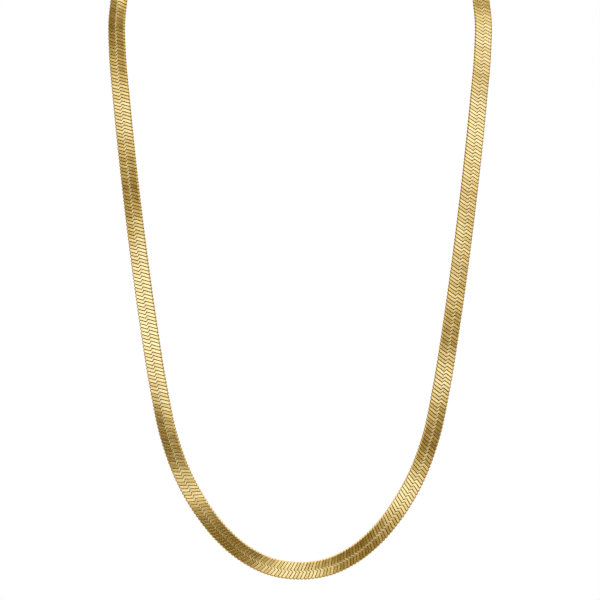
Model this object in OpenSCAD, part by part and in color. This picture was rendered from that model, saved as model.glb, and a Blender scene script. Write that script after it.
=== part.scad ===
// A flat herringbone chain necklace, in the shape that it takes when worn.
// The front lies on the chest, the sides roll back over the shoulders, and the clasp is at the nape.
// +Z is up, the front faces -Y, and the origin is the middle of the neck, level with the shoulders.

/* [Chain] */
// Width of the flat band
band_w = 5.0; // [4:0.1:6]
// Thickness of the band
band_t = 1.2; // [0.8:0.1:1.6]
// Width of the bevel along the long edges of the band
band_bevel = 0.3; // [0.1:0.05:0.35]
// Distance between the cross-sections of the band
ring_step = 5.0; // [4:0.5:10]

/* [End caps] */
// How far a cap reaches over the end of the band
cap_grip = 3.0; // [2:0.5:4]
// Thickness of the cap's walls
cap_wall = 0.25; // [0.2:0.05:0.4]
// Gap between the band and the cap
cap_gap = 0.2; // [0.15:0.05:0.25]
// Length of the shoulder that narrows from the cap to its eye
cap_shoulder = 1.2; // [1:0.1:2]

/* [Eyes and rings] */
// Radius of the hole in an eye
eye_hole_r = 0.85; // [0.8:0.05:0.9]
// Width of the metal round the hole of an eye
eye_rim = 0.7; // [0.5:0.05:0.8]
// Thickness of an eye
eye_t = 0.9; // [0.7:0.1:1]
// Radius of a jump ring, to the middle of its wire
ring_r = 2.0; // [1.95:0.01:2.1]
// Radius of a jump ring's wire
ring_wire_r = 0.4; // [0.3:0.05:0.45]

/* [Clasp] */
// Thickness of the clasp's body
clasp_t = 2.2; // [1.8:0.1:2.6]
// Thickness of the clasp's hook, where the ring lies in it
hook_t = 1.5; // [1.2:0.1:1.6]
// Radius of the clasp round its hook
hook_r = 2.95; // [2.7:0.05:3]
// Radius of the clasp round its thumb end
heel_r = 2.2; // [1.9:0.05:2.3]

/* [Hidden] */
GOLD = "#d9ad4f";
DETAIL = 48;
SLACK = 0.15;

// The right half of the route, from the lowest point of the loop round to the nape.
// Columns: place across, place back, height, and the way that the band's face looks, as a rough x, y, z.
HALF_ROUTE = [
    [ 0.0, -84.0, -175.5,  0.00, -1.00, 0.10],
    [ 7.9, -83.9, -174.4,  0.00, -1.00, 0.10],
    [15.1, -83.7, -170.9,  0.02, -1.00, 0.10],
    [21.2, -83.4, -165.8,  0.03, -1.00, 0.11],
    [26.9, -82.9, -158.8,  0.04, -1.00, 0.12],
    [31.9, -82.0, -150.2,  0.05, -1.00, 0.13],
    [36.1, -80.6, -139.2,  0.06, -1.00, 0.15],
    [39.3, -78.3, -124.8,  0.07, -1.00, 0.17],
    [42.2, -75.1, -107.7,  0.08, -1.00, 0.20],
    [45.3, -70.5,  -87.1,  0.09, -1.00, 0.24],
    [48.2, -64.9,  -65.5,  0.10, -1.00, 0.27],
    [50.6, -59.2,  -45.2,  0.11, -1.00, 0.29],
    [52.2, -54.4,  -29.4,  0.13, -1.00, 0.31],
    [52.5, -51.9,  -21.2,  0.15, -0.98, 0.34],
    [52.0, -49.6,  -14.6,  0.17, -0.95, 0.40],
    [51.1, -45.2,   -3.6,  0.21, -0.80, 0.58],
    [50.5, -37.2,    4.4,  0.25, -0.50, 0.83],
    [50.1, -25.8,    8.6,  0.29, -0.22, 0.93],
    [49.7, -13.0,    9.7,  0.33, -0.04, 0.94],
    [48.6,   0.3,    9.2,  0.38,  0.02, 0.92],
    [45.9,  13.5,    7.6,  0.44,  0.14, 0.89],
    [40.6,  28.0,    5.2,  0.48,  0.32, 0.82],
    [31.4,  42.2,    2.6,  0.44,  0.52, 0.74],
    [17.3,  54.2,    0.3,  0.26,  0.72, 0.68],
    [ 0.0,  59.2,   -0.6,  0.00,  0.80, 0.66],
];
MIRROR = [-1, 1, 1, -1, 1, 1];
HALF = len(HALF_ROUTE) - 1;
LAPS = 2 * HALF;

// Middle of the clasp, measured from the nape towards the right, and each cap's distance from it
CLASP_OFF = 2.8;
CAP_REACH = 12.4;

// The whole loop, from the nape down the left side, through the lowest point and up the right side
function route_row(k) = let (m = (k % LAPS + LAPS) % LAPS)
    m < HALF ? [for (c = [0:5]) MIRROR[c] * HALF_ROUTE[HALF - m][c]] : HALF_ROUTE[m - HALF];
function place_of(row) = [row[0], row[1], row[2]];
function face_of(row) = [row[3], row[4], row[5]];
function gap_after(k) = norm(place_of(route_row(k + 1)) - place_of(route_row(k)));
function rate_after(k) = (route_row(k + 1) - route_row(k)) / gap_after(k);
function rate_at(k) = let (before = gap_after(k - 1), after = gap_after(k))
    (rate_after(k - 1) * after + rate_after(k) * before) / (before + after);

// A smooth curve through the rows: its value and its direction at t, where t counts rows from the nape
function route_at(t) = let (k = floor(t), u = t - k, h = gap_after(k))
    (2 * u^3 - 3 * u^2 + 1) * route_row(k) + (3 * u^2 - 2 * u^3) * route_row(k + 1)
    + h * ((u^3 - 2 * u^2 + u) * rate_at(k) + (u^3 - u^2) * rate_at(k + 1));
function route_dir(t) = let (k = floor(t), u = t - k, h = gap_after(k), rise = 6 * (u^2 - u))
    unit(place_of((rise * (route_row(k) - route_row(k + 1))) / h
    + (3 * u^2 - 4 * u + 1) * rate_at(k) + (3 * u^2 - 2 * u) * rate_at(k + 1)));
function unit(v) = v / norm(v);

// Where the route is a given distance from the nape: ahead of it on the left, behind it on the right
function t_left(far) = far / gap_after(0);
function t_right(far) = LAPS - far / gap_after(LAPS - 1);

// A frame: along, across, out and its place. Out is the rough direction, squared up to along.
function frame_of(along, rough, place) = let (out = unit(rough - (rough * along) * along))
    [along, cross(out, along), out, place];
function frame_at(t) = let (row = route_at(t))
    frame_of(route_dir(t), face_of(row), place_of(row));
function point_in(frame, p) = frame[3] + p[0] * frame[0] + p[1] * frame[1] + p[2] * frame[2];
function turned(frame) = [-frame[0], -frame[1], frame[2], frame[3]];
module placed(frame) {
    multmatrix([for (r = [0:2]) [frame[0][r], frame[1][r], frame[2][r], frame[3][r]]])
        children();
}

// The band's cross-section: a flat strip with bevelled edges, across by out
BAND_HALF_W = band_w / 2;
BAND_HALF_T = band_t / 2;
BAND_SECTION = [
    [BAND_HALF_W, -BAND_HALF_T + band_bevel], [BAND_HALF_W, BAND_HALF_T - band_bevel],
    [BAND_HALF_W - band_bevel, BAND_HALF_T], [-BAND_HALF_W + band_bevel, BAND_HALF_T],
    [-BAND_HALF_W, BAND_HALF_T - band_bevel], [-BAND_HALF_W, -BAND_HALF_T + band_bevel],
    [-BAND_HALF_W + band_bevel, -BAND_HALF_T], [BAND_HALF_W - band_bevel, -BAND_HALF_T],
];

// The closure at the nape. A cap's frame is at the middle of its grip, and runs towards the clasp.
T_LEFT = t_left(CAP_REACH - CLASP_OFF);
T_RIGHT = t_right(CAP_REACH + CLASP_OFF);
T_START = t_left(CAP_REACH - CLASP_OFF - cap_grip / 2);
T_END = t_right(CAP_REACH + CLASP_OFF - cap_grip / 2);
FRAME_LEFT = turned(frame_at(T_LEFT));
FRAME_RIGHT = frame_at(T_RIGHT);
EYE_R = eye_hole_r + eye_rim;
CAP_END = cap_grip / 2 + cap_gap + cap_wall;
EYE_AT = CAP_END + cap_shoulder + eye_hole_r;
HOLE_LEFT = point_in(FRAME_LEFT, [EYE_AT, 0, 0]);
HOLE_RIGHT = point_in(FRAME_RIGHT, [EYE_AT, 0, 0]);
ACROSS_NAPE = unit(HOLE_RIGHT - HOLE_LEFT);
OUT_OF_NAPE = FRAME_LEFT[2] + FRAME_RIGHT[2];

// Inside a ring, the metal of an eye or a hook ends where its corners meet the curved wire
function held_at(thick) = sqrt((ring_r - ring_wire_r)^2 - (thick / 2)^2) - SLACK;
EYE_TO_RING = held_at(eye_t) + eye_hole_r;

// Each ring lies between its cap's direction and the clasp's, and a little low, so the clasp sags
RING_DIP = 0.15;
CLASP_SHARE = 0.5;
DOWN_NAPE = unit(cross(OUT_OF_NAPE, ACROSS_NAPE));
function ring_frame(cap, hole, to_clasp) = let (way = unit(cap[0] + to_clasp + RING_DIP * DOWN_NAPE))
    frame_of(unit(way + CLASP_SHARE * to_clasp), cap[2] + OUT_OF_NAPE, hole + EYE_TO_RING * way);
RING_LEFT = ring_frame(FRAME_LEFT, HOLE_LEFT, ACROSS_NAPE);
RING_RIGHT = ring_frame(FRAME_RIGHT, HOLE_RIGHT, -ACROSS_NAPE);

// Centres along the clasp, from the middle between the rings towards the right ring
RING_GAP = RING_RIGHT[3] - RING_LEFT[3];
CLASP_FRAME = frame_of(unit(RING_GAP), OUT_OF_NAPE, (RING_LEFT[3] + RING_RIGHT[3]) / 2);
HOOK_BAR = 1.2;
HOOK_HOLE_R = hook_r - HOOK_BAR;
CLASP_HOLE_R = eye_hole_r + SLACK;
CLASP_EYE_R = CLASP_HOLE_R + eye_rim;
CLASP_EYE_AT = norm(RING_GAP) / 2 - held_at(eye_t) - CLASP_HOLE_R;
HOOK_AT = -norm(RING_GAP) / 2 + held_at(hook_t) + HOOK_HOLE_R;
HEEL_DROP = 0.6;
HEEL = [CLASP_EYE_AT - CLASP_HOLE_R - heel_r, HEEL_DROP];

// Steps along the route between the two ends of the band, none of them close to an end
END_CLEAR = 0.05;
function steps_in(k) = ceil(gap_after(k) / ring_step);
BAND_STEPS = [
    T_START,
    for (k = [0:LAPS - 1], j = [0:steps_in(k) - 1]) let (t = k + j / steps_in(k))
        if (t > T_START + END_CLEAR && t < T_END - END_CLEAR) t,
    T_END,
];

module chain() {
    sides = len(BAND_SECTION);
    last = len(BAND_STEPS) - 1;
    points = [for (t = BAND_STEPS) let (f = frame_at(t))
        for (s = BAND_SECTION) point_in(f, [0, s[0], s[1]])];
    walls = [for (i = [0:last - 1], j = [0:sides - 1]) let (n = (j + 1) % sides)
        [i * sides + j, (i + 1) * sides + j, (i + 1) * sides + n, i * sides + n]];
    ends = [[for (j = [0:sides - 1]) j], [for (j = [sides - 1:-1:0]) last * sides + j]];
    color(GOLD) polyhedron(points, concat(walls, ends));
}

module bevelled_bar(width, thick, bevel) {
    x = width / 2;
    y = thick / 2;
    polygon([[x, y - bevel], [x - bevel, y], [bevel - x, y], [-x, y - bevel],
        [-x, bevel - y], [bevel - x, -y], [x - bevel, -y], [x, bevel - y]]);
}

module end_cap() {
    room_w = band_w + 2 * cap_gap;
    room_t = band_t + 2 * cap_gap;
    color(GOLD) union() {
        difference() {
            translate([-cap_grip / 2, 0, 0])
                rotate([90, 0, 90])
                    linear_extrude(CAP_END + cap_grip / 2)
                        bevelled_bar(room_w + 2 * cap_wall, room_t + 2 * cap_wall, cap_wall);
            translate([-cap_grip, -room_w / 2, -room_t / 2])
                cube([CAP_END - cap_wall + cap_grip, room_w, room_t]);
        }
        translate([0, 0, -eye_t / 2])
            linear_extrude(eye_t)
                difference() {
                    union() {
                        polygon([[CAP_END - cap_wall / 2, -room_w / 2], [EYE_AT, -EYE_R],
                            [EYE_AT, EYE_R], [CAP_END - cap_wall / 2, room_w / 2]]);
                        translate([EYE_AT, 0]) circle(EYE_R, $fn = DETAIL);
                    }
                    translate([EYE_AT, 0]) circle(eye_hole_r, $fn = DETAIL);
                }
    }
}

module end_cap_left() {
    placed(FRAME_LEFT) end_cap();
}

module end_cap_right() {
    placed(FRAME_RIGHT) end_cap();
}

module jump_ring() {
    color(GOLD)
        rotate([90, 0, 0])
            rotate_extrude($fn = DETAIL)
                translate([ring_r, 0]) circle(ring_wire_r, $fn = DETAIL);
}

module jump_ring_left() {
    placed(RING_LEFT) jump_ring();
}

module jump_ring_right() {
    placed(RING_RIGHT) jump_ring();
}

// The flat outline of two round ends of different radius, joined by their common tangents
module taper(start, r1, end, r2) {
    span = norm(end - start);
    lean = asin((r1 - r2) / span);
    translate(start)
        rotate(atan2(end[1] - start[1], end[0] - start[0])) {
            circle(r1, $fn = DETAIL);
            translate([span, 0]) circle(r2, $fn = DETAIL);
            polygon([
                [r1 * sin(lean), r1 * cos(lean)], [span + r2 * sin(lean), r2 * cos(lean)],
                [span + r2 * sin(lean), -r2 * cos(lean)], [r1 * sin(lean), -r1 * cos(lean)],
            ]);
        }
}

module slab(thick) {
    translate([0, 0, -thick / 2])
        linear_extrude(thick)
            children();
}

module clasp() {
    color(GOLD) placed(CLASP_FRAME)
        difference() {
            union() {
                slab(hook_t) taper([HOOK_AT, 0], hook_r, HEEL, heel_r);
                slab(clasp_t) taper([HOOK_AT + hook_r, 0], heel_r, HEEL, heel_r - HOOK_BAR / 2);
                slab(eye_t) taper(HEEL, CLASP_EYE_R, [CLASP_EYE_AT, 0], CLASP_EYE_R);
            }
            slab(2 * clasp_t) {
                translate([HOOK_AT, 0]) circle(HOOK_HOLE_R, $fn = DETAIL);
                translate([CLASP_EYE_AT, 0]) circle(CLASP_HOLE_R, $fn = DETAIL);
            }
        }
}

chain();
end_cap_left();
end_cap_right();
jump_ring_left();
jump_ring_right();
clasp();
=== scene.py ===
"""The looks of a herringbone chain necklace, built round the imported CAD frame.

The woven band is made link by link along the CAD route. The caps, rings and clasp of the closure
at the nape are finer meshes in the places of their CAD nodes. The row frame is +Z up, the front
faces -Y, and the origin is the middle of the neck, at shoulder level. Forms are worked out in
millimetres, and mesh_piece turns them into metres.
"""

import math

import bpy
import mathutils
import numpy as np
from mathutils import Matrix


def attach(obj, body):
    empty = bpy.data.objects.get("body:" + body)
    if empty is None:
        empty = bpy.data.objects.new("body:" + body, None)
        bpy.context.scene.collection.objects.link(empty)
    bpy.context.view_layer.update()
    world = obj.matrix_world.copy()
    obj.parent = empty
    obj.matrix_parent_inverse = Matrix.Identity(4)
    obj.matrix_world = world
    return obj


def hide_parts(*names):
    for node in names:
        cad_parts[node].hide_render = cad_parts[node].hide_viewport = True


MM = 0.001

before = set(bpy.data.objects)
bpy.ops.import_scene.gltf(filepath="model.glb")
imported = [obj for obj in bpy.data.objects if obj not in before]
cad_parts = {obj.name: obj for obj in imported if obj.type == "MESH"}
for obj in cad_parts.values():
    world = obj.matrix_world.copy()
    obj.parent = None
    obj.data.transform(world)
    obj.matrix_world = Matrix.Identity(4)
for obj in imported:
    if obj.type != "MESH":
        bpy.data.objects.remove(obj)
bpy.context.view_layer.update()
scene = bpy.context.scene


# The camera, at the photo's viewing angle

PHOTO_SIDE_PX = 600
FOCAL_PX = 2862
SENSOR_MM = 36
CAMERA_AT = (0, -0.872, -0.101)
CLIP_NEAR = 0.01
CLIP_FAR = 60

camera_data = bpy.data.cameras.new("camera")
camera_data.sensor_width = SENSOR_MM
camera_data.lens = FOCAL_PX * SENSOR_MM / PHOTO_SIDE_PX
camera_data.clip_start = CLIP_NEAR
camera_data.clip_end = CLIP_FAR
camera = bpy.data.objects.new("camera", camera_data)
camera.location = CAMERA_AT
camera.rotation_euler = (math.radians(90), 0, 0)
scene.collection.objects.link(camera)
scene.camera = camera


# The route of the band

# The right half of the route, as in part.scad, from the lowest point round to the nape.
# Columns: x, y, z in millimetres, and the rough way that the band's face looks.
HALF_ROUTE = np.array([
    [0.0, -84.0, -175.5, 0.00, -1.00, 0.10],
    [7.9, -83.9, -174.4, 0.00, -1.00, 0.10],
    [15.1, -83.7, -170.9, 0.02, -1.00, 0.10],
    [21.2, -83.4, -165.8, 0.03, -1.00, 0.11],
    [26.9, -82.9, -158.8, 0.04, -1.00, 0.12],
    [31.9, -82.0, -150.2, 0.05, -1.00, 0.13],
    [36.1, -80.6, -139.2, 0.06, -1.00, 0.15],
    [39.3, -78.3, -124.8, 0.07, -1.00, 0.17],
    [42.2, -75.1, -107.7, 0.08, -1.00, 0.20],
    [45.3, -70.5, -87.1, 0.09, -1.00, 0.24],
    [48.2, -64.9, -65.5, 0.10, -1.00, 0.27],
    [50.6, -59.2, -45.2, 0.11, -1.00, 0.29],
    [52.2, -54.4, -29.4, 0.13, -1.00, 0.31],
    [52.5, -51.9, -21.2, 0.15, -0.98, 0.34],
    [52.0, -49.6, -14.6, 0.17, -0.95, 0.40],
    [51.1, -45.2, -3.6, 0.21, -0.80, 0.58],
    [50.5, -37.2, 4.4, 0.25, -0.50, 0.83],
    [50.1, -25.8, 8.6, 0.29, -0.22, 0.93],
    [49.7, -13.0, 9.7, 0.33, -0.04, 0.94],
    [48.6, 0.3, 9.2, 0.38, 0.02, 0.92],
    [45.9, 13.5, 7.6, 0.44, 0.14, 0.89],
    [40.6, 28.0, 5.2, 0.48, 0.32, 0.82],
    [31.4, 42.2, 2.6, 0.44, 0.52, 0.74],
    [17.3, 54.2, 0.3, 0.26, 0.72, 0.68],
    [0.0, 59.2, -0.6, 0.00, 0.80, 0.66],
])
MIRROR = np.array([-1, 1, 1, -1, 1, 1])
ROWS = np.concatenate([(HALF_ROUTE * MIRROR)[::-1][:-1], HALF_ROUTE[:-1]])
LAPS = len(ROWS)
SAMPLES_PER_ROW = 200


def unit(v):
    return v / np.linalg.norm(v, axis=-1, keepdims=True)


def route(t):
    """Rows and their slopes at t, which counts rows from the nape down the left side."""
    after = np.roll(ROWS, -1, axis=0)
    gap = np.linalg.norm((after - ROWS)[:, :3], axis=1, keepdims=True)
    rate = (after - ROWS) / gap
    before, rate_before = np.roll(gap, 1, axis=0), np.roll(rate, 1, axis=0)
    slope = (rate_before * gap + rate * before) / (before + gap)
    k = np.floor(t).astype(int)
    u, k = (t - k)[:, None], k % LAPS
    n = (k + 1) % LAPS
    h, a, b, sa, sb = gap[k], ROWS[k], ROWS[n], slope[k], slope[n]
    rows = ((2 * u**3 - 3 * u**2 + 1) * a + (3 * u**2 - 2 * u**3) * b
            + h * ((u**3 - 2 * u**2 + u) * sa + (u**3 - u**2) * sb))
    slopes = 6 * (u**2 - u) * (a - b) / h + (3 * u**2 - 4 * u + 1) * sa + (3 * u**2 - 2 * u) * sb
    return rows, slopes


def frames(along, rough):
    """Unit vectors along, across (towards the loop's inside) and out of the band's face."""
    along = unit(along)
    out = unit(rough - (rough * along).sum(-1, keepdims=True) * along)
    return along, np.cross(out, along), out


route_rows = route(np.arange(LAPS * SAMPLES_PER_ROW + 1) / SAMPLES_PER_ROW)[0]
route_steps = np.linalg.norm(np.diff(route_rows[:, :3], axis=0), axis=1)
route_arc = np.concatenate([[0], np.cumsum(route_steps)])
LOOP = route_arc[-1]


# The lie of the band

# The real band never lies quite flat. As it goes round, each half of its width turns a little
# about the band's length, outwards (+) or inwards (-), and mirrors another part of the room.
# These turns were fitted by a program to how bright the band is along the photo. The rows were
# then thinned and rounded. Beyond the first and the last row, on the hidden way to the clasp, the
# turns of those rows are held.
# Columns: distance from the nape down the left side in mm, and the turns of the outer and the
# inner half in degrees.
LIE = np.array([
    [142, -2.5, -9.5], [148, 3, 1], [154, 5.5, 5], [166, 4.5, 5.5], [178, 4, 4], [184, 5, 4.5],
    [202, 7.5, 8], [208, 7.5, 7.5], [214, 6.5, 6], [220, 6, 5.5], [232, 5, 5], [250, 5, 5],
    [262, 6, 5.5], [268, 8, 6.5], [274, 8.5, 7.5], [280, 8, 7.5], [286, 5, 5], [292, 4, 4],
    [304, 7.5, 7], [310, 7.5, 7], [316, 5.5, 6], [322, 3.5, 4], [328, 3, 3], [334, 3.5, 4.5],
    [340, 5, 5.5], [346, 5.5, 6], [352, 5.5, 6], [364, 3.5, 3], [370, 3.5, 3], [382, 7.5, 7.5],
    [388, 8, 7.5], [400, 5.5, 5.5], [406, 6, 6], [412, 7.5, 7.5], [418, 7.5, 7.5],
    [424, 6.5, 6.5], [430, 7, 6.5], [436, 6.5, 6.5], [442, 6, 5.5], [454, 6, 6], [472, 4, 4],
    [490, 4.5, 4.5], [508, 1, 1], [514, 0.5, 1],
])

# The step at which the lie is worked out, in mm, over how many such steps the table is smoothed,
# and how far from the band's middle line the turns of its two halves blend, in mm
BAND_STEP = 0.1
LIE_BLUR = 30
FOLD_HALF_W = 0.8

band_at = np.arange(0, LOOP, BAND_STEP)
band_rows = np.stack([np.interp(band_at, route_arc, route_rows[:, c]) for c in range(6)], axis=1)
band_slopes = np.gradient(band_rows[:, :3], axis=0)
band_along, band_across, band_out = frames(band_slopes, band_rows[:, 3:])
blur = np.hanning(LIE_BLUR + 2) / np.hanning(LIE_BLUR + 2).sum()
outer_turn, inner_turn = (
    np.convolve(np.interp(band_at, LIE[:, 0], np.radians(LIE[:, c])), blur, "same") for c in (1, 2))


def on_band(at, w, z):
    """Points at distance at along the band, w across it and z out of it, all in mm."""
    def pick(values):
        return np.stack([np.interp(at, band_at, values[:, c]) for c in range(3)], axis=-1)
    outer, inner = (np.interp(at, band_at, turn) for turn in (outer_turn, inner_turn))
    turn = ((outer + inner) / 2 + (inner - outer) / 2 * np.tanh(w / FOLD_HALF_W))[..., None]
    across, out = unit(pick(band_across)), unit(pick(band_out))
    across, out = (across * np.cos(turn) + out * np.sin(turn),
                   out * np.cos(turn) - across * np.sin(turn))
    return pick(band_rows[:, :3]) + w[..., None] * across + z[..., None] * out


# Meshes

def flat_keeping_normals(points, quads):
    """A normal at each point that leans to the largest faces round it, so that they shade flat."""
    a, b, c, d = (points[quads[:, k]] for k in range(4))
    face = np.cross(c - a, d - b)
    face *= np.linalg.norm(face, axis=1, keepdims=True)
    total = np.zeros_like(points)
    for k in range(4):
        for axis in range(3):
            total[:, axis] += np.bincount(quads[:, k], face[:, axis], len(points))
    return unit(total)


def mesh_piece(name, points_mm, quads, attributes=None, smooth=True):
    """A mesh object from points in mm and an array of quads. A repeated corner makes a triangle."""
    mesh = bpy.data.meshes.new(name)
    faces = [[c for i, c in enumerate(q) if c != q[i - 1]] for q in quads.tolist()]
    mesh.from_pydata((points_mm * MM).tolist(), [], faces)
    for key, values in (attributes or {}).items():
        attribute = mesh.attributes.new(key, "FLOAT", "POINT")
        attribute.data.foreach_set("value", values.astype(np.float32))
    mesh.polygons.foreach_set("use_smooth", np.full(len(mesh.polygons), smooth))
    if smooth:
        normals = flat_keeping_normals(points_mm, quads)
        mesh.normals_split_custom_set_from_vertices(normals.tolist())
    piece = bpy.data.objects.new(name, mesh)
    scene.collection.objects.link(piece)
    return piece


def tube_quads(count, ring):
    """Quads of the skin through count rings of points, each with ring points."""
    i, j = np.meshgrid(np.arange(count - 1), np.arange(ring), indexing="ij")
    n = (j + 1) % ring
    corners = [i * ring + j, (i + 1) * ring + j, (i + 1) * ring + n, i * ring + n]
    return np.stack(corners, axis=-1).reshape(-1, 4)


def lid_quads(ring):
    """Quads across a ring of points."""
    j = np.arange(ring // 2 - 1)
    return np.stack([j, j + 1, ring - 2 - j, ring - 1 - j], axis=-1)


def lofted(rings, closed=True):
    """Points and quads of a skin through rings of equally many points, closed at its two ends."""
    count, ring = len(rings), len(rings[0])
    quads = tube_quads(count, ring)
    if closed:
        lid = lid_quads(ring)
        quads = np.concatenate([quads, lid, (lid + (count - 1) * ring)[:, ::-1]])
    return np.concatenate(rings), quads


# The form of a link

# Sizes in mm. A link takes a share of its pitch along the band, and the rest is a groove. Its two
# long bars slope, and the short middle piece between them, the kink, runs the other way.
BAND_W = 4.94
BAND_T = 1.2
PITCH = 1.04
LINK_SHARE = 0.885
BAR_SLOPE = 0.505
KINK = 0.485
KINK_AT = -0.16
KINK_HALF_W = 0.25
KINK_SHARPNESS = 5
KINK_DROP = 0.007
KINK_WAIST = 0.06
SATIN_HALF_W = 0.27

# One link's section along the band: how far towards its edge, and how high, as shares
SECTION_UP = np.array([
    [1.00, 0.00], [1.00, 0.70], [0.975, 0.85], [0.93, 0.94], [0.86, 0.985], [0.74, 1.00],
    [-0.74, 1.00], [-0.86, 0.985], [-0.93, 0.94], [-0.975, 0.85], [-1.00, 0.70],
])
LINK_SECTION = np.concatenate([SECTION_UP, -SECTION_UP])

# A link's rounded end. Columns: distance from the very end, and its thickness and width there
# as shares
LINK_END = np.array([
    [0.00, 0.38, 0.42], [0.05, 0.51, 0.66], [0.12, 0.68, 0.83], [0.21, 0.86, 0.94],
    [0.29, 0.98, 0.98], [0.31, 0.995, 0.99], [0.33, 1.00, 1.00], [0.40, 1.00, 1.00],
])

# Where a link is worn bright and free of painted shade: near the top of its section, from one share
# of its height and over the next, and less towards its end on the outside, by distances from the
# end and shares. Elsewhere a link takes the darker patina colour, which is partly patina and partly
# painted shade in the grooves, on the link walls and bevels, and towards the link's outer end.
WORN_UNSHADED_FROM, WORN_UNSHADED_OVER = 0.93, 0.07
OUTER_WEAR_AND_SHADE = [0.0, 0.15, 0.42], [0.2, 0.3, 1.0]

# Where a link's sections are across the band: round the kink, on the bars and at their ends
NEAR_KINK = np.array([0.0, 0.12, 0.2, 0.27, 0.38, 0.5])
BAR = 1.2
HALF_W = BAND_W / 2
STATIONS = np.unique(np.round(np.concatenate([
    KINK_AT - NEAR_KINK, KINK_AT + NEAR_KINK, [BAR, -BAR],
    HALF_W - LINK_END[:, 0], LINK_END[:, 0] - HALF_W,
]), 4))


def kink(w):
    """How far along the band a link's middle line is at w across it: two long bars and a short
    one between them that runs the other way."""
    x = (w - KINK_AT) / KINK_HALF_W
    return BAR_SLOPE * w - KINK * x / (1 + np.abs(x) ** KINK_SHARPNESS) ** (1 / KINK_SHARPNESS)


def link_shape():
    """One link's points in mm, along, across and out of the band, how worn and free of painted shade,
    and how satin.
    """
    w = STATIONS
    from_end = HALF_W - np.abs(w)
    thickness, width = (np.interp(from_end, LINK_END[:, 0], LINK_END[:, c]) for c in (1, 2))
    waist = 1 - KINK_WAIST * np.exp(-((w - KINK_AT) / KINK_HALF_W) ** 2)
    half_l, half_t = PITCH * LINK_SHARE / 2 * width * waist, BAND_T / 2 * thickness
    u, v = LINK_SECTION[:, 0], LINK_SECTION[:, 1]
    along = kink(w)[:, None] + half_l[:, None] * u
    across = np.repeat(w[:, None], len(u), axis=1)
    drop = KINK_DROP / 2 * np.clip((w - KINK_AT) / KINK_HALF_W, -1, 1)
    out = half_t[:, None] * v - drop[:, None]
    outer_wear_and_shade = np.interp(HALF_W + w, *OUTER_WEAR_AND_SHADE)
    worn = np.clip((np.abs(v) - WORN_UNSHADED_FROM) / WORN_UNSHADED_OVER, 0, 1) * outer_wear_and_shade[:, None]
    satin = np.exp(-(w / SATIN_HALF_W) ** 2)[:, None] * np.ones_like(out)
    return along, across, out, worn, satin


def link_quads():
    """Quads of one link's skin and of its two ends."""
    count, ring = len(STATIONS), len(LINK_SECTION)
    skin, end = tube_quads(count, ring), lid_quads(ring)
    return np.concatenate([skin[:, [0, 3, 2, 1]], end[:, ::-1], end + (count - 1) * ring])


# The closure's sizes and places, as in part.scad

CAP_GRIP = 3.0
CAP_REACH = 12.4
CLASP_OFF = 2.8
CAP_WALL = 0.25
CAP_GAP = 0.2
CAP_SHOULDER = 1.2
EYE_HOLE_R = 0.85
EYE_RIM = 0.7
EYE_T = 0.9
RING_R = 2.0
RING_WIRE_R = 0.4
CLASP_T = 2.2
HOOK_T = 1.5
HOOK_R = 2.95
HEEL_R = 2.2
HOOK_BAR = 1.2
HEEL_DROP = 0.6
SLACK = 0.15
RING_DIP = 0.15
CLASP_SHARE = 0.5


def frame_of(along, rough, place):
    """Rows: along, across, out and the place, in mm."""
    return np.stack([*frames(along, rough), place])


def frame_at(t):
    """The band's frame at t, which counts rows of the route."""
    rows, slopes = route(np.array([t]))
    return frame_of(slopes[0, :3], rows[0, 3:], rows[0, :3])


def held_at(thick):
    """How far from a ring's middle the rim of a plate hangs in it, with the slack left."""
    return math.sqrt((RING_R - RING_WIRE_R) ** 2 - (thick / 2) ** 2) - SLACK


def ring_frame(cap, hole, to_clasp, down):
    """The frame of the jump ring that hangs from a cap's hole on its way to the clasp."""
    way = unit(cap[0] + to_clasp + RING_DIP * down)
    return frame_of(unit(way + CLASP_SHARE * to_clasp), cap[2] + OUT_OF_NAPE,
                    hole + (held_at(EYE_T) + EYE_HOLE_R) * way)


nape_gap = np.linalg.norm(HALF_ROUTE[-1, :3] - HALF_ROUTE[-2, :3])
FRAME_LEFT = frame_at((CAP_REACH - CLASP_OFF) / nape_gap) * [[-1], [-1], [1], [1]]
FRAME_RIGHT = frame_at(LAPS - (CAP_REACH + CLASP_OFF) / nape_gap)
CAP_END = CAP_GRIP / 2 + CAP_GAP + CAP_WALL
EYE_AT = CAP_END + CAP_SHOULDER + EYE_HOLE_R
HOLE_LEFT, HOLE_RIGHT = (cap[3] + EYE_AT * cap[0] for cap in (FRAME_LEFT, FRAME_RIGHT))
ACROSS_NAPE = unit(HOLE_RIGHT - HOLE_LEFT)
OUT_OF_NAPE = FRAME_LEFT[2] + FRAME_RIGHT[2]
DOWN_NAPE = unit(np.cross(OUT_OF_NAPE, ACROSS_NAPE))
RING_LEFT = ring_frame(FRAME_LEFT, HOLE_LEFT, ACROSS_NAPE, DOWN_NAPE)
RING_RIGHT = ring_frame(FRAME_RIGHT, HOLE_RIGHT, -ACROSS_NAPE, DOWN_NAPE)
RING_GAP = RING_RIGHT[3] - RING_LEFT[3]
CLASP_FRAME = frame_of(unit(RING_GAP), OUT_OF_NAPE, (RING_LEFT[3] + RING_RIGHT[3]) / 2)
HALF_GAP = np.linalg.norm(RING_GAP) / 2
HOOK_HOLE_R = HOOK_R - HOOK_BAR
CLASP_HOLE_R = EYE_HOLE_R + SLACK
CLASP_EYE_AT = HALF_GAP - held_at(EYE_T) - CLASP_HOLE_R
HOOK_AT = held_at(HOOK_T) + HOOK_HOLE_R - HALF_GAP
HEEL = np.array([CLASP_EYE_AT - CLASP_HOLE_R - HEEL_R, HEEL_DROP])


# The links along the band

BAND_START = CAP_REACH - CLASP_OFF - CAP_GRIP / 2
BAND_END = LOOP - (CAP_REACH + CLASP_OFF - CAP_GRIP / 2)

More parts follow.
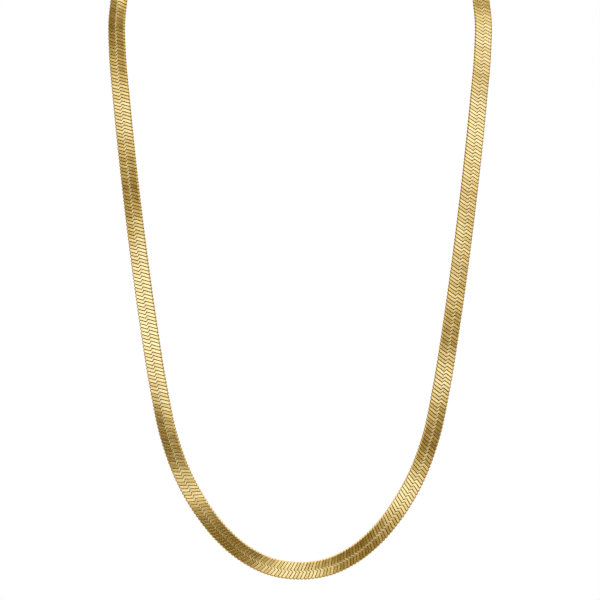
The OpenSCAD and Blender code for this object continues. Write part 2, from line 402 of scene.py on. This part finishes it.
# How far the first and the last link keep from the band's ends, how far a link rolls at most, and
# the step that spreads the rolls
LINK_REACH = 0.95
ROLL_DEG = 0.5
ROLL_STEP = 0.61803

LINK_PIECES = ["links_nape_left", "links_left", "links_front", "links_right", "links_nape_right"]


def link_places():
    """Where the links are along the band. They keep their spacing along its outer edge, and
    close up a little inside a bend."""
    bend = (np.gradient(band_along, BAND_STEP, axis=0) * band_across).sum(-1)
    count = np.cumsum((1 + bend * BAND_W / 2) * BAND_STEP / PITCH)
    ends = (BAND_START + LINK_REACH, BAND_END - LINK_REACH)
    first, last = (np.interp(at, band_at, count) for at in ends)
    return np.interp(np.linspace(first, last, round(last - first) + 1), count, band_at)


def unordered(count):
    """Even but unordered values from -1 to 1, the same each time."""
    return 2 * (np.arange(count) * ROLL_STEP % 1) - 1


def make_links(name, ats):
    """One piece of the band: a link at each distance in ats, each rolled a very little."""
    along, across, out, worn, satin = link_shape()
    roll = np.radians(ROLL_DEG) * unordered(len(ats))[:, None, None]
    at = ats[:, None, None] + along
    lift = out + roll * across
    points = on_band(at, np.broadcast_to(across, at.shape), lift)
    quads = (np.arange(len(ats)) * along.size)[:, None, None] + link_quads()
    looks = {"worn": np.tile(worn.ravel(), len(ats)), "satin": np.tile(satin.ravel(), len(ats))}
    return mesh_piece(name, points.reshape(-1, 3), quads.reshape(-1, 4), looks)


piece_ats = np.array_split(link_places(), len(LINK_PIECES))
links = [make_links(name, ats) for name, ats in zip(LINK_PIECES, piece_ats)]


# The core of the band

# How far the core keeps inside the links' ends, their faces and the band's two ends
CORE_EDGE = 0.22
CORE_DEPTH = 0.3
CORE_END = 0.2
CORE_STEP = 1.0


def make_core():
    """The inside of the weave, which closes the grooves between the links. Its dark colour is painted
    shade.
    """
    w, t = HALF_W - CORE_EDGE, BAND_T / 2 - CORE_DEPTH
    section = np.array([[w, -t], [w, t], [-w, t], [-w, -t]])
    ats = np.arange(BAND_START + CORE_END, BAND_END - CORE_END, CORE_STEP)
    at = np.repeat(ats[:, None], len(section), axis=1)
    across, out = (np.broadcast_to(section[:, c], at.shape) for c in (0, 1))
    return mesh_piece("weave_core", *lofted(on_band(at, across, out)), smooth=False)


core = make_core()


# What the closure's forms are made with

CORNER_STEPS = 6
EDGE_STEPS = 5
HULL_STEPS = 48
MITRE_LIMIT = 0.35


def joined(parts):
    """One set of points and quads out of several."""
    starts = np.cumsum([0] + [len(points) for points, _ in parts])
    return (np.concatenate([points for points, _ in parts]),
            np.concatenate([quads + start for (_, quads), start in zip(parts, starts)]))


def soft_box(width, thick, corner):
    """A rectangle with rounded corners, as points across by out: the upper two corners from the
    foot of the right one, and then the lower two."""
    turn = np.radians(np.linspace(0, 90, CORNER_STEPS))
    quarter = np.stack([width / 2 - corner + corner * np.cos(turn),
                        thick / 2 - corner + corner * np.sin(turn)], axis=1)
    upper = np.concatenate([quarter, (quarter * [-1, 1])[::-1]])
    return np.concatenate([upper, upper[::-1] * [1, -1]])


def section_at(x, section):
    """A section's points, across by out, stood up at x along."""
    return np.column_stack([np.full(len(section), x), section])


def arc_points(centre, radius, start, stop, count):
    """Points of an arc between two directions in degrees."""
    turn = np.radians(np.linspace(start, stop, count))
    return np.asarray(centre) + radius * np.stack([np.cos(turn), np.sin(turn)], axis=1)


def circle_points(centre, radius, count, start=0):
    """A closed circle: anticlockwise from direction 0, or clockwise from 360."""
    return arc_points(centre, radius, start, 360 - start, count + 1)[:-1]


def hull_of_circles(c1, r1, c2, r2):
    """The outline round two circles and their tangents, anticlockwise from the first circle."""
    c1, c2 = np.asarray(c1, float), np.asarray(c2, float)
    span = np.linalg.norm(c2 - c1)
    way = math.degrees(math.atan2(c2[1] - c1[1], c2[0] - c1[0]))
    lean = math.degrees(math.asin((r1 - r2) / span))
    return np.concatenate([arc_points(c1, r1, way + 90 - lean, way + 270 + lean, HULL_STEPS),
                           arc_points(c2, r2, way - 90 + lean, way + 90 - lean, HULL_STEPS)])


def inset(outline, by):
    """The outline moved inwards, mitred at its corners."""
    before = unit(outline - np.roll(outline, 1, axis=0))
    after = unit(np.roll(outline, -1, axis=0) - outline)
    n1, n2 = (np.stack([-d[:, 1], d[:, 0]], axis=1) for d in (before, after))
    share = 1 + (n1 * n2).sum(1, keepdims=True)
    return outline + by * (n1 + n2) / np.maximum(share, MITRE_LIMIT)


def plate_lids(loops):
    """Triangles, all anticlockwise, over an outline and the holes in it."""
    polygons = [[mathutils.Vector((x, y, 0)) for x, y in loop] for loop in loops]
    corners = np.array(mathutils.geometry.tessellate_polygon(polygons))
    flat = np.concatenate(loops)
    e1 = flat[corners[:, 1]] - flat[corners[:, 0]]
    e2 = flat[corners[:, 2]] - flat[corners[:, 0]]
    clockwise = e1[:, 0] * e2[:, 1] - e1[:, 1] * e2[:, 0] < 0
    corners[clockwise] = corners[clockwise][:, ::-1]
    return corners


def plate(outline, thick, edge, hole=None):
    """A plate with edges rounded to a radius, from an anticlockwise outline and perhaps a
    clockwise hole."""
    loops = [outline] if hole is None else [outline, hole]
    turn = np.radians(np.linspace(0, 90, EDGE_STEPS))
    levels = [(edge * (1 - math.cos(t)), thick / 2 - edge + edge * math.sin(t)) for t in turn]
    levels = [(by, -z) for by, z in levels[::-1]] + levels
    walls, tops, low, high, start = [], [], [], [], 0
    for loop in loops:
        insets = [inset(loop, by) for by, _ in levels]
        rings = [np.column_stack([ring, np.full(len(loop), z)]) for ring, (_, z) in zip(insets, levels)]
        points, quads = lofted(rings, closed=False)
        walls.append((points, quads[:, ::-1]))
        tops.append(insets[-1])
        low.append(start + np.arange(len(loop)))
        high.append(start + len(points) - len(loop) + np.arange(len(loop)))
        start += len(points)
    points, quads = joined(walls)
    low, high, corners = np.concatenate(low), np.concatenate(high), plate_lids(tops)
    lids = np.concatenate([high[corners], low[corners[:, ::-1]]])
    return points, np.concatenate([quads, np.column_stack([lids, lids[:, -1]])])


# The end caps

CAP_BAND_W = BAND_W + 0.1
LIP = 0.06
CRIMP = 0.12
EYE_EDGE = 0.3
EYE_SIDES = 48

# An end cap's sections: the place of each along the cap, how much wider and thicker than the
# plain cap it is, and the radius of its corners. They start inside the mouth, turn out over its
# rolled lip, and run over two crimps to the cap's end.
FROM_MOUTH = [
    (1.6, -2 * CAP_WALL, 0.3), (0.15, -2 * CAP_WALL, 0.3), (0.03, -1.6 * CAP_WALL, 0.4),
    (0, LIP - CAP_WALL, 0.5), (0.03, LIP, 0.6), (0.12, 2 * LIP, 0.7), (0.38, 2 * LIP, 0.7),
    (0.47, LIP, 0.65), (0.52, 0, 0.6), (0.95, 0, 0.6),
    (1.05, -0.6 * CRIMP, 0.6), (1.17, -CRIMP, 0.6), (1.29, -0.6 * CRIMP, 0.6),
    (1.39, 0, 0.6), (1.85, 0, 0.6),
    (1.95, -0.6 * CRIMP, 0.6), (2.07, -CRIMP, 0.6), (2.19, -0.6 * CRIMP, 0.6), (2.29, 0, 0.6),
]
FROM_END = [(-0.45, 0, 0.6), (-0.2, -0.04, 0.62), (0, -0.2, 0.6)]

# The shoulder narrows from the cap's end to a neck on the eye's rim
NECK_W, NECK_T = 2.3, EYE_T * 0.92
NECK_CORNER = 0.44
SHOULDER_SHARES = np.linspace(0.12, 1, 8)


def cap_form():
    """An end cap: a folded tube with a rolled lip and two crimps, a shoulder and an eye."""
    wide = CAP_BAND_W + 2 * CAP_GAP + 2 * CAP_WALL
    thick = BAND_T + 2 * CAP_GAP + 2 * CAP_WALL
    sections = [(x - CAP_GRIP / 2, grow, corner) for x, grow, corner in FROM_MOUTH]
    sections += [(x + CAP_END, grow, corner) for x, grow, corner in FROM_END]
    rings = [section_at(x, soft_box(wide + grow, thick + grow, corner)) for x, grow, corner in sections]
    end_w, end_t = wide + FROM_END[-1][1], thick + FROM_END[-1][1]
    neck_at = EYE_AT - EYE_HOLE_R - EYE_RIM / 2
    for u in SHOULDER_SHARES:
        ease = u * u * (3 - 2 * u)
        x = CAP_END + (neck_at - CAP_END) * u
        w, t = end_w + (NECK_W - end_w) * ease, end_t + (NECK_T - end_t) * ease
        rings.append(section_at(x, soft_box(w, t, NECK_CORNER * min(w, t))))
    eye = plate(circle_points((EYE_AT, 0), EYE_HOLE_R + EYE_RIM, EYE_SIDES), EYE_T, EYE_EDGE,
                circle_points((EYE_AT, 0), EYE_HOLE_R, EYE_SIDES, start=360))
    return joined([lofted(rings), eye])


# The jump rings

SPLIT_DEG = 2.2
RING_SIDES = 120
WIRE_SIDES = 24

# A wire's ends are rounded off: they narrow to a share, over a small turn in radians
WIRE_END_SHARE = 0.86
WIRE_END_TURN = 0.008


def ring_form(split_at):
    """A jump ring: round wire bent to a ring, with the hairline split where its ends meet."""
    start, stop = split_at + SPLIT_DEG / 2, split_at + 360 - SPLIT_DEG / 2
    turn = np.radians(np.linspace(start, stop, RING_SIDES + 1))
    wire = circle_points((0, 0), RING_WIRE_R, WIRE_SIDES)
    wires = [wire * WIRE_END_SHARE, *[wire] * len(turn), wire * WIRE_END_SHARE]
    turn = np.concatenate([turn[:1] - WIRE_END_TURN, turn, turn[-1:] + WIRE_END_TURN])
    rings = []
    for a, w in zip(turn, wires):
        r = RING_R + w[:, 0]
        rings.append(np.column_stack([r * math.cos(a), w[:, 1], r * math.sin(a)]))
    return lofted(rings)


# The clasp

# The slit at the gate's tip, between two directions from the hook's middle in degrees, and how
# far out of the hook it is cut
GATE_START, GATE_STOP = 236, 238.5
GATE_REACH = 0.5

# Roundings, steps and sizes of the hook, of the raised body, which keeps clear of the hook's
# hole, and of the rivet's head, which is placed from the middle of the heel
HOOK_EDGE = 0.4
HOOK_STEPS = 72
BODY_EDGE = 0.55
BODY_CLEAR = 0.3
BODY_STEPS = 14
RIVET_OFF = [-0.2, 0.1]
RIVET_R = 0.55
RIVET_RISE = 0.24
RIVET_EDGE = 0.11
RIVET_SIDES = 32


def from_hook(points):
    """Directions in degrees and distances of points from the hook's middle."""
    off = points - [HOOK_AT, 0]
    return np.degrees(np.arctan2(off[:, 1], off[:, 0])), np.linalg.norm(off, axis=1)


def clasp_hook():
    """The flat hook, as one outline that goes round the outside and back round the hole."""
    outer = hull_of_circles((HOOK_AT, 0), HOOK_R, HEEL, HEEL_R)
    way, far = from_hook(outer)
    way %= 360
    in_slit = (way > GATE_START) & (way < GATE_STOP) & (far < HOOK_R + GATE_REACH)
    start = np.argmax(way >= GATE_STOP)
    outer = np.roll(outer, -start, axis=0)[~np.roll(in_slit, -start)]
    slit_start, slit_stop = (
        arc_points((HOOK_AT, 0), HOOK_R, at, at, 1) for at in (GATE_START, GATE_STOP))
    inner = arc_points((HOOK_AT, 0), HOOK_HOLE_R, GATE_START, GATE_STOP - 360, HOOK_STEPS)
    return plate(np.concatenate([slit_stop, outer, slit_start, inner]), HOOK_T, HOOK_EDGE)


def clasp_body():
    """The raised body, which keeps clear of the hook's hole."""
    body = hull_of_circles((HOOK_AT + HOOK_R, 0), HEEL_R, HEEL, HEEL_R - HOOK_BAR / 2)
    room = HOOK_HOLE_R + BODY_CLEAR
    clear = from_hook(body)[1] > room
    start = np.argmax(clear & ~np.roll(clear, 1))
    body = np.roll(body, -start, axis=0)[np.roll(clear, -start)]
    first, last = from_hook(body[[-1, 0]])[0]
    hollow = arc_points((HOOK_AT, 0), room, first, last, BODY_STEPS)[1:-1]
    return plate(np.concatenate([body, hollow]), CLASP_T, BODY_EDGE)


def clasp_form():
    """A plain lobster clasp: its hook with the hairline at the gate's tip, a raised body, a rivet
    head and an eye."""
    eye_r = CLASP_HOLE_R + EYE_RIM
    tail = plate(hull_of_circles(HEEL, eye_r, (CLASP_EYE_AT, 0), eye_r), EYE_T, EYE_EDGE,
                 circle_points((CLASP_EYE_AT, 0), CLASP_HOLE_R, EYE_SIDES, start=360))
    head = circle_points(HEEL + RIVET_OFF, RIVET_R, RIVET_SIDES)
    rivet = plate(head, CLASP_T + RIVET_RISE, RIVET_EDGE)
    return joined([clasp_hook(), clasp_body(), tail, rivet])


# The closure's pieces, each in the place of its CAD node

def closure_piece(name, form, place):
    """A piece of the closure: its form, put in the place of its CAD node."""
    points, quads = form
    return mesh_piece(name, points @ place[:3] + place[3], quads)


cap_left = closure_piece("cap_left_form", cap_form(), FRAME_LEFT)
cap_right = closure_piece("cap_right_form", cap_form(), FRAME_RIGHT)
ring_left = closure_piece("ring_left_wire", ring_form(split_at=75), RING_LEFT)
ring_right = closure_piece("ring_right_wire", ring_form(split_at=100), RING_RIGHT)
clasp = closure_piece("clasp_form", clasp_form(), CLASP_FRAME)


# Materials

# The cloud of colour and the fine grain: scales and details of their noises, and the stretch of
# the cloud's noise over which the colour changes
CLOUD_SCALE, CLOUD_DETAIL = 90, 3
CLOUD_RANGE = (0.35, 0.65)
GRAIN_SCALE, GRAIN_DETAIL = 2500, 4
GRAIN_DEPTH = 0.00004

# How far the grain moves the roughness, and how much rougher a link's short middle piece is
GLOSS_RANGE = (-0.04, 0.06)
SATIN_ROUGH = 0.13


def new_material(name):
    """A material, its nodes, its node links and its shader."""
    material = bpy.data.materials.new(name)
    material.use_nodes = True
    nodes, joins = material.node_tree.nodes, material.node_tree.links
    return material, nodes, joins, nodes["Principled BSDF"]


def gold_material(name, light, deep, roughness, grain, patina_and_shade=None):
    """Polished gold plate: a faint cloud of colour and a fine grain in the gloss. With a patina,
    for the links, it is darker in the grooves, on the link walls and towards the links' outer ends:
    partly patina where the polishing wheel didn't reach, and partly painted shade. It is satin
    on the short middle pieces."""
    material, nodes, joins, shader = new_material(name)
    shader.inputs["Metallic"].default_value = 1.0
    coords = nodes.new("ShaderNodeTexCoord")

    def noise(scale, detail):
        node = nodes.new("ShaderNodeTexNoise")
        node.inputs["Scale"].default_value = scale
        node.inputs["Detail"].default_value = detail
        joins.new(coords.outputs["Object"], node.inputs["Vector"])
        return node.outputs["Fac"]

    def attribute(key):
        node = nodes.new("ShaderNodeAttribute")
        node.attribute_name = key
        return node.outputs["Fac"]

    cloud = nodes.new("ShaderNodeValToRGB")
    for stop, position, colour in zip(cloud.color_ramp.elements, CLOUD_RANGE, (deep, light)):
        stop.position = position
        stop.color = (*colour, 1)
    joins.new(noise(CLOUD_SCALE, CLOUD_DETAIL), cloud.inputs["Fac"])
    colour = cloud.outputs["Color"]

    fine = noise(GRAIN_SCALE, GRAIN_DETAIL)
    gloss = nodes.new("ShaderNodeMapRange")
    gloss.inputs["To Min"].default_value = roughness + GLOSS_RANGE[0]
    gloss.inputs["To Max"].default_value = roughness + GLOSS_RANGE[1]
    joins.new(fine, gloss.inputs["Value"])
    rough = gloss.outputs["Result"]

    # The patina colour goes where a link is not worn: partly patina, partly painted shade in the
    # grooves, on the walls and towards the outer ends.
    if patina_and_shade:
        mix = nodes.new("ShaderNodeMix")
        mix.data_type = "RGBA"
        mix.inputs["A"].default_value = (*patina_and_shade, 1)
        joins.new(attribute("worn"), mix.inputs["Factor"])
        joins.new(colour, mix.inputs["B"])
        colour = mix.outputs["Result"]
        add = nodes.new("ShaderNodeMath")
        add.operation = "MULTIPLY_ADD"
        joins.new(attribute("satin"), add.inputs[0])
        add.inputs[1].default_value = SATIN_ROUGH
        joins.new(rough, add.inputs[2])
        rough = add.outputs[0]

    joins.new(colour, shader.inputs["Base Color"])
    joins.new(rough, shader.inputs["Roughness"])
    bump = nodes.new("ShaderNodeBump")
    bump.inputs["Strength"].default_value = grain
    bump.inputs["Distance"].default_value = GRAIN_DEPTH
    joins.new(fine, bump.inputs["Height"])
    joins.new(bump.outputs["Normal"], shader.inputs["Normal"])
    return material


# The links' patina colour is partly patina and partly painted shade in the grooves and at the links'
# outer ends.
woven_gold = gold_material("woven_gold", light=(1.0, 0.785, 0.36), deep=(0.98, 0.745, 0.31),
                           roughness=0.14, grain=0.15, patina_and_shade=(0.42, 0.26, 0.02))
# The core's dark colour is painted shade: it darkens the bottoms of the grooves between the links.
core_painted_shade = gold_material("core_painted_shade", light=(0.2, 0.12, 0.015), deep=(0.14, 0.08, 0.01),
                          roughness=0.6, grain=0.3)
cap_gold = gold_material("cap_gold", light=(1.0, 0.75, 0.31), deep=(0.98, 0.70, 0.27),
                         roughness=0.15, grain=0.12)
ring_gold = gold_material("ring_gold", light=(1.0, 0.76, 0.32), deep=(0.98, 0.71, 0.28),
                          roughness=0.12, grain=0.08)
clasp_gold = gold_material("clasp_gold", light=(1.0, 0.74, 0.30), deep=(0.98, 0.69, 0.26),
                           roughness=0.15, grain=0.12)


# What rides, and what it stands for

for piece in links:
    piece.data.materials.append(woven_gold)
core.data.materials.append(core_painted_shade)
for piece in [*links, core]:
    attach(piece, "root")
    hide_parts("chain")

for piece, node, slot, metal in (
        (cap_left, "end_cap_left", "cap_gold", cap_gold),
        (cap_right, "end_cap_right", "cap_gold", cap_gold),
        (ring_left, "jump_ring_left", "ring_gold", ring_gold),
        (ring_right, "jump_ring_right", "ring_gold", ring_gold),
        (clasp, "clasp", "clasp_gold", clasp_gold)):
    piece.data.materials.append(metal)
    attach(piece, "root")
    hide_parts(node)


# The floor, plain and pale

scene.view_settings.view_transform = "Standard"

FLOOR_Z = -0.95
FLOOR_HALF = 4.0
FLOOR_COLOUR = (0.9, 0.9, 0.89, 1)
FLOOR_ROUGHNESS = 0.9
WHITE = (1, 1, 1, 1)
FLOOR_EMISSION = 0.5

floor_mesh = bpy.data.meshes.new("floor")
floor_corners = [(x * FLOOR_HALF, y * FLOOR_HALF, FLOOR_Z)
                 for x, y in ((-1, -1), (1, -1), (1, 1), (-1, 1))]
floor_mesh.from_pydata(floor_corners, [], [(0, 1, 2, 3)])
floor = bpy.data.objects.new("floor", floor_mesh)
scene.collection.objects.link(floor)
floor.visible_glossy = False
floor_material, _, _, floor_shader = new_material("pale_floor")
floor_shader.inputs["Base Color"].default_value = FLOOR_COLOUR
floor_shader.inputs["Roughness"].default_value = FLOOR_ROUGHNESS
floor_shader.inputs["Emission Color"].default_value = WHITE
floor_shader.inputs["Emission Strength"].default_value = FLOOR_EMISSION
floor_mesh.materials.append(floor_material)


# The studio

# The band mirrors a plain room: a large round soft light high before the necklace and one like it
# behind, a light overhead and backwards, a dimmer one at each side, a pale floor far below, and
# dim warm walls between them. The lights have soft warm edges. Each light's place is given in the
# X, Y or Z of the direction to it, and its edge as where it starts and where it is full.
ROUND_HALF_W, ROUND_HALF_H, ROUND_HEIGHT = 0.42, 0.45, 0.42
ROUND_EDGE = (1.18, 0.86)
SIDE, SIDE_EDGE = 0.36, (0.66, 0.8)
BELOW, BELOW_EDGE = 0.38, (-0.35, -0.6)
OVERHEAD, OVERHEAD_EDGE, OVERHEAD_FRONT = 0.7, (0.5, 0.6), (-0.42, -0.34)
GLOW = 1.84
ROOM_GLOW = (0.09, 0.057, 0.003, 1)
EDGE_GLOW = (0.47, 0.385, 0.165, 1)
SOFT_GLOW = (0.71, 0.8, 1.04, 1)
EDGE_GLOW_AT = 0.5

world = bpy.data.worlds.new("studio")
scene.world = world
world.use_nodes = True
nodes, joins = world.node_tree.nodes, world.node_tree.links
nodes.clear()


def math_node(operation, *inputs):
    """One step of arithmetic on numbers and other nodes' outputs."""
    node = nodes.new("ShaderNodeMath")
    node.operation = operation
    for socket, value in zip(node.inputs, inputs):
        if isinstance(value, (int, float)):
            socket.default_value = value
        else:
            joins.new(value, socket)
    return node.outputs[0]


def smooth_step(value, edge, full=1.0):
    """0 at the start of the edge, rising or falling softly to full at its end."""
    node = nodes.new("ShaderNodeMapRange")
    node.interpolation_type = "SMOOTHSTEP"
    node.inputs["From Min"].default_value = edge[0]
    node.inputs["From Max"].default_value = edge[1]
    node.inputs["To Max"].default_value = full
    joins.new(value, node.inputs["Value"])
    return node.outputs["Result"]


coords = nodes.new("ShaderNodeTexCoord")
split = nodes.new("ShaderNodeSeparateXYZ")
joins.new(coords.outputs["Generated"], split.inputs[0])
way_x, way_y, way_z = split.outputs

off_x = math_node("DIVIDE", way_x, ROUND_HALF_W)
off_z = math_node("DIVIDE", math_node("SUBTRACT", way_z, ROUND_HEIGHT), ROUND_HALF_H)
squares = [math_node("MULTIPLY", off, off) for off in (off_x, off_z)]
round_lights = smooth_step(math_node("SQRT", math_node("ADD", *squares)), ROUND_EDGE)
sides = smooth_step(math_node("ABSOLUTE", way_x), SIDE_EDGE, SIDE)
below = smooth_step(way_z, BELOW_EDGE, BELOW)
overhead = math_node("MULTIPLY", smooth_step(way_z, OVERHEAD_EDGE, OVERHEAD),
                     smooth_step(way_y, OVERHEAD_FRONT))
lights = math_node("MAXIMUM", math_node("MAXIMUM", round_lights, sides),
                   math_node("MAXIMUM", below, overhead))
glow = nodes.new("ShaderNodeValToRGB")
glow.color_ramp.elements[0].color = ROOM_GLOW
glow.color_ramp.elements[1].color = SOFT_GLOW
glow.color_ramp.elements.new(EDGE_GLOW_AT).color = EDGE_GLOW
joins.new(lights, glow.inputs["Fac"])

# What the camera sees directly is plain white
light_path = nodes.new("ShaderNodeLightPath")
lit = nodes.new("ShaderNodeBackground")
lit.inputs["Strength"].default_value = GLOW
joins.new(glow.outputs["Color"], lit.inputs["Color"])
seen = nodes.new("ShaderNodeBackground")
seen.inputs["Color"].default_value = WHITE
mix = nodes.new("ShaderNodeMixShader")
output = nodes.new("ShaderNodeOutputWorld")
joins.new(light_path.outputs["Is Camera Ray"], mix.inputs["Fac"])
joins.new(lit.outputs[0], mix.inputs[1])
joins.new(seen.outputs[0], mix.inputs[2])
joins.new(mix.outputs[0], output.inputs["Surface"])
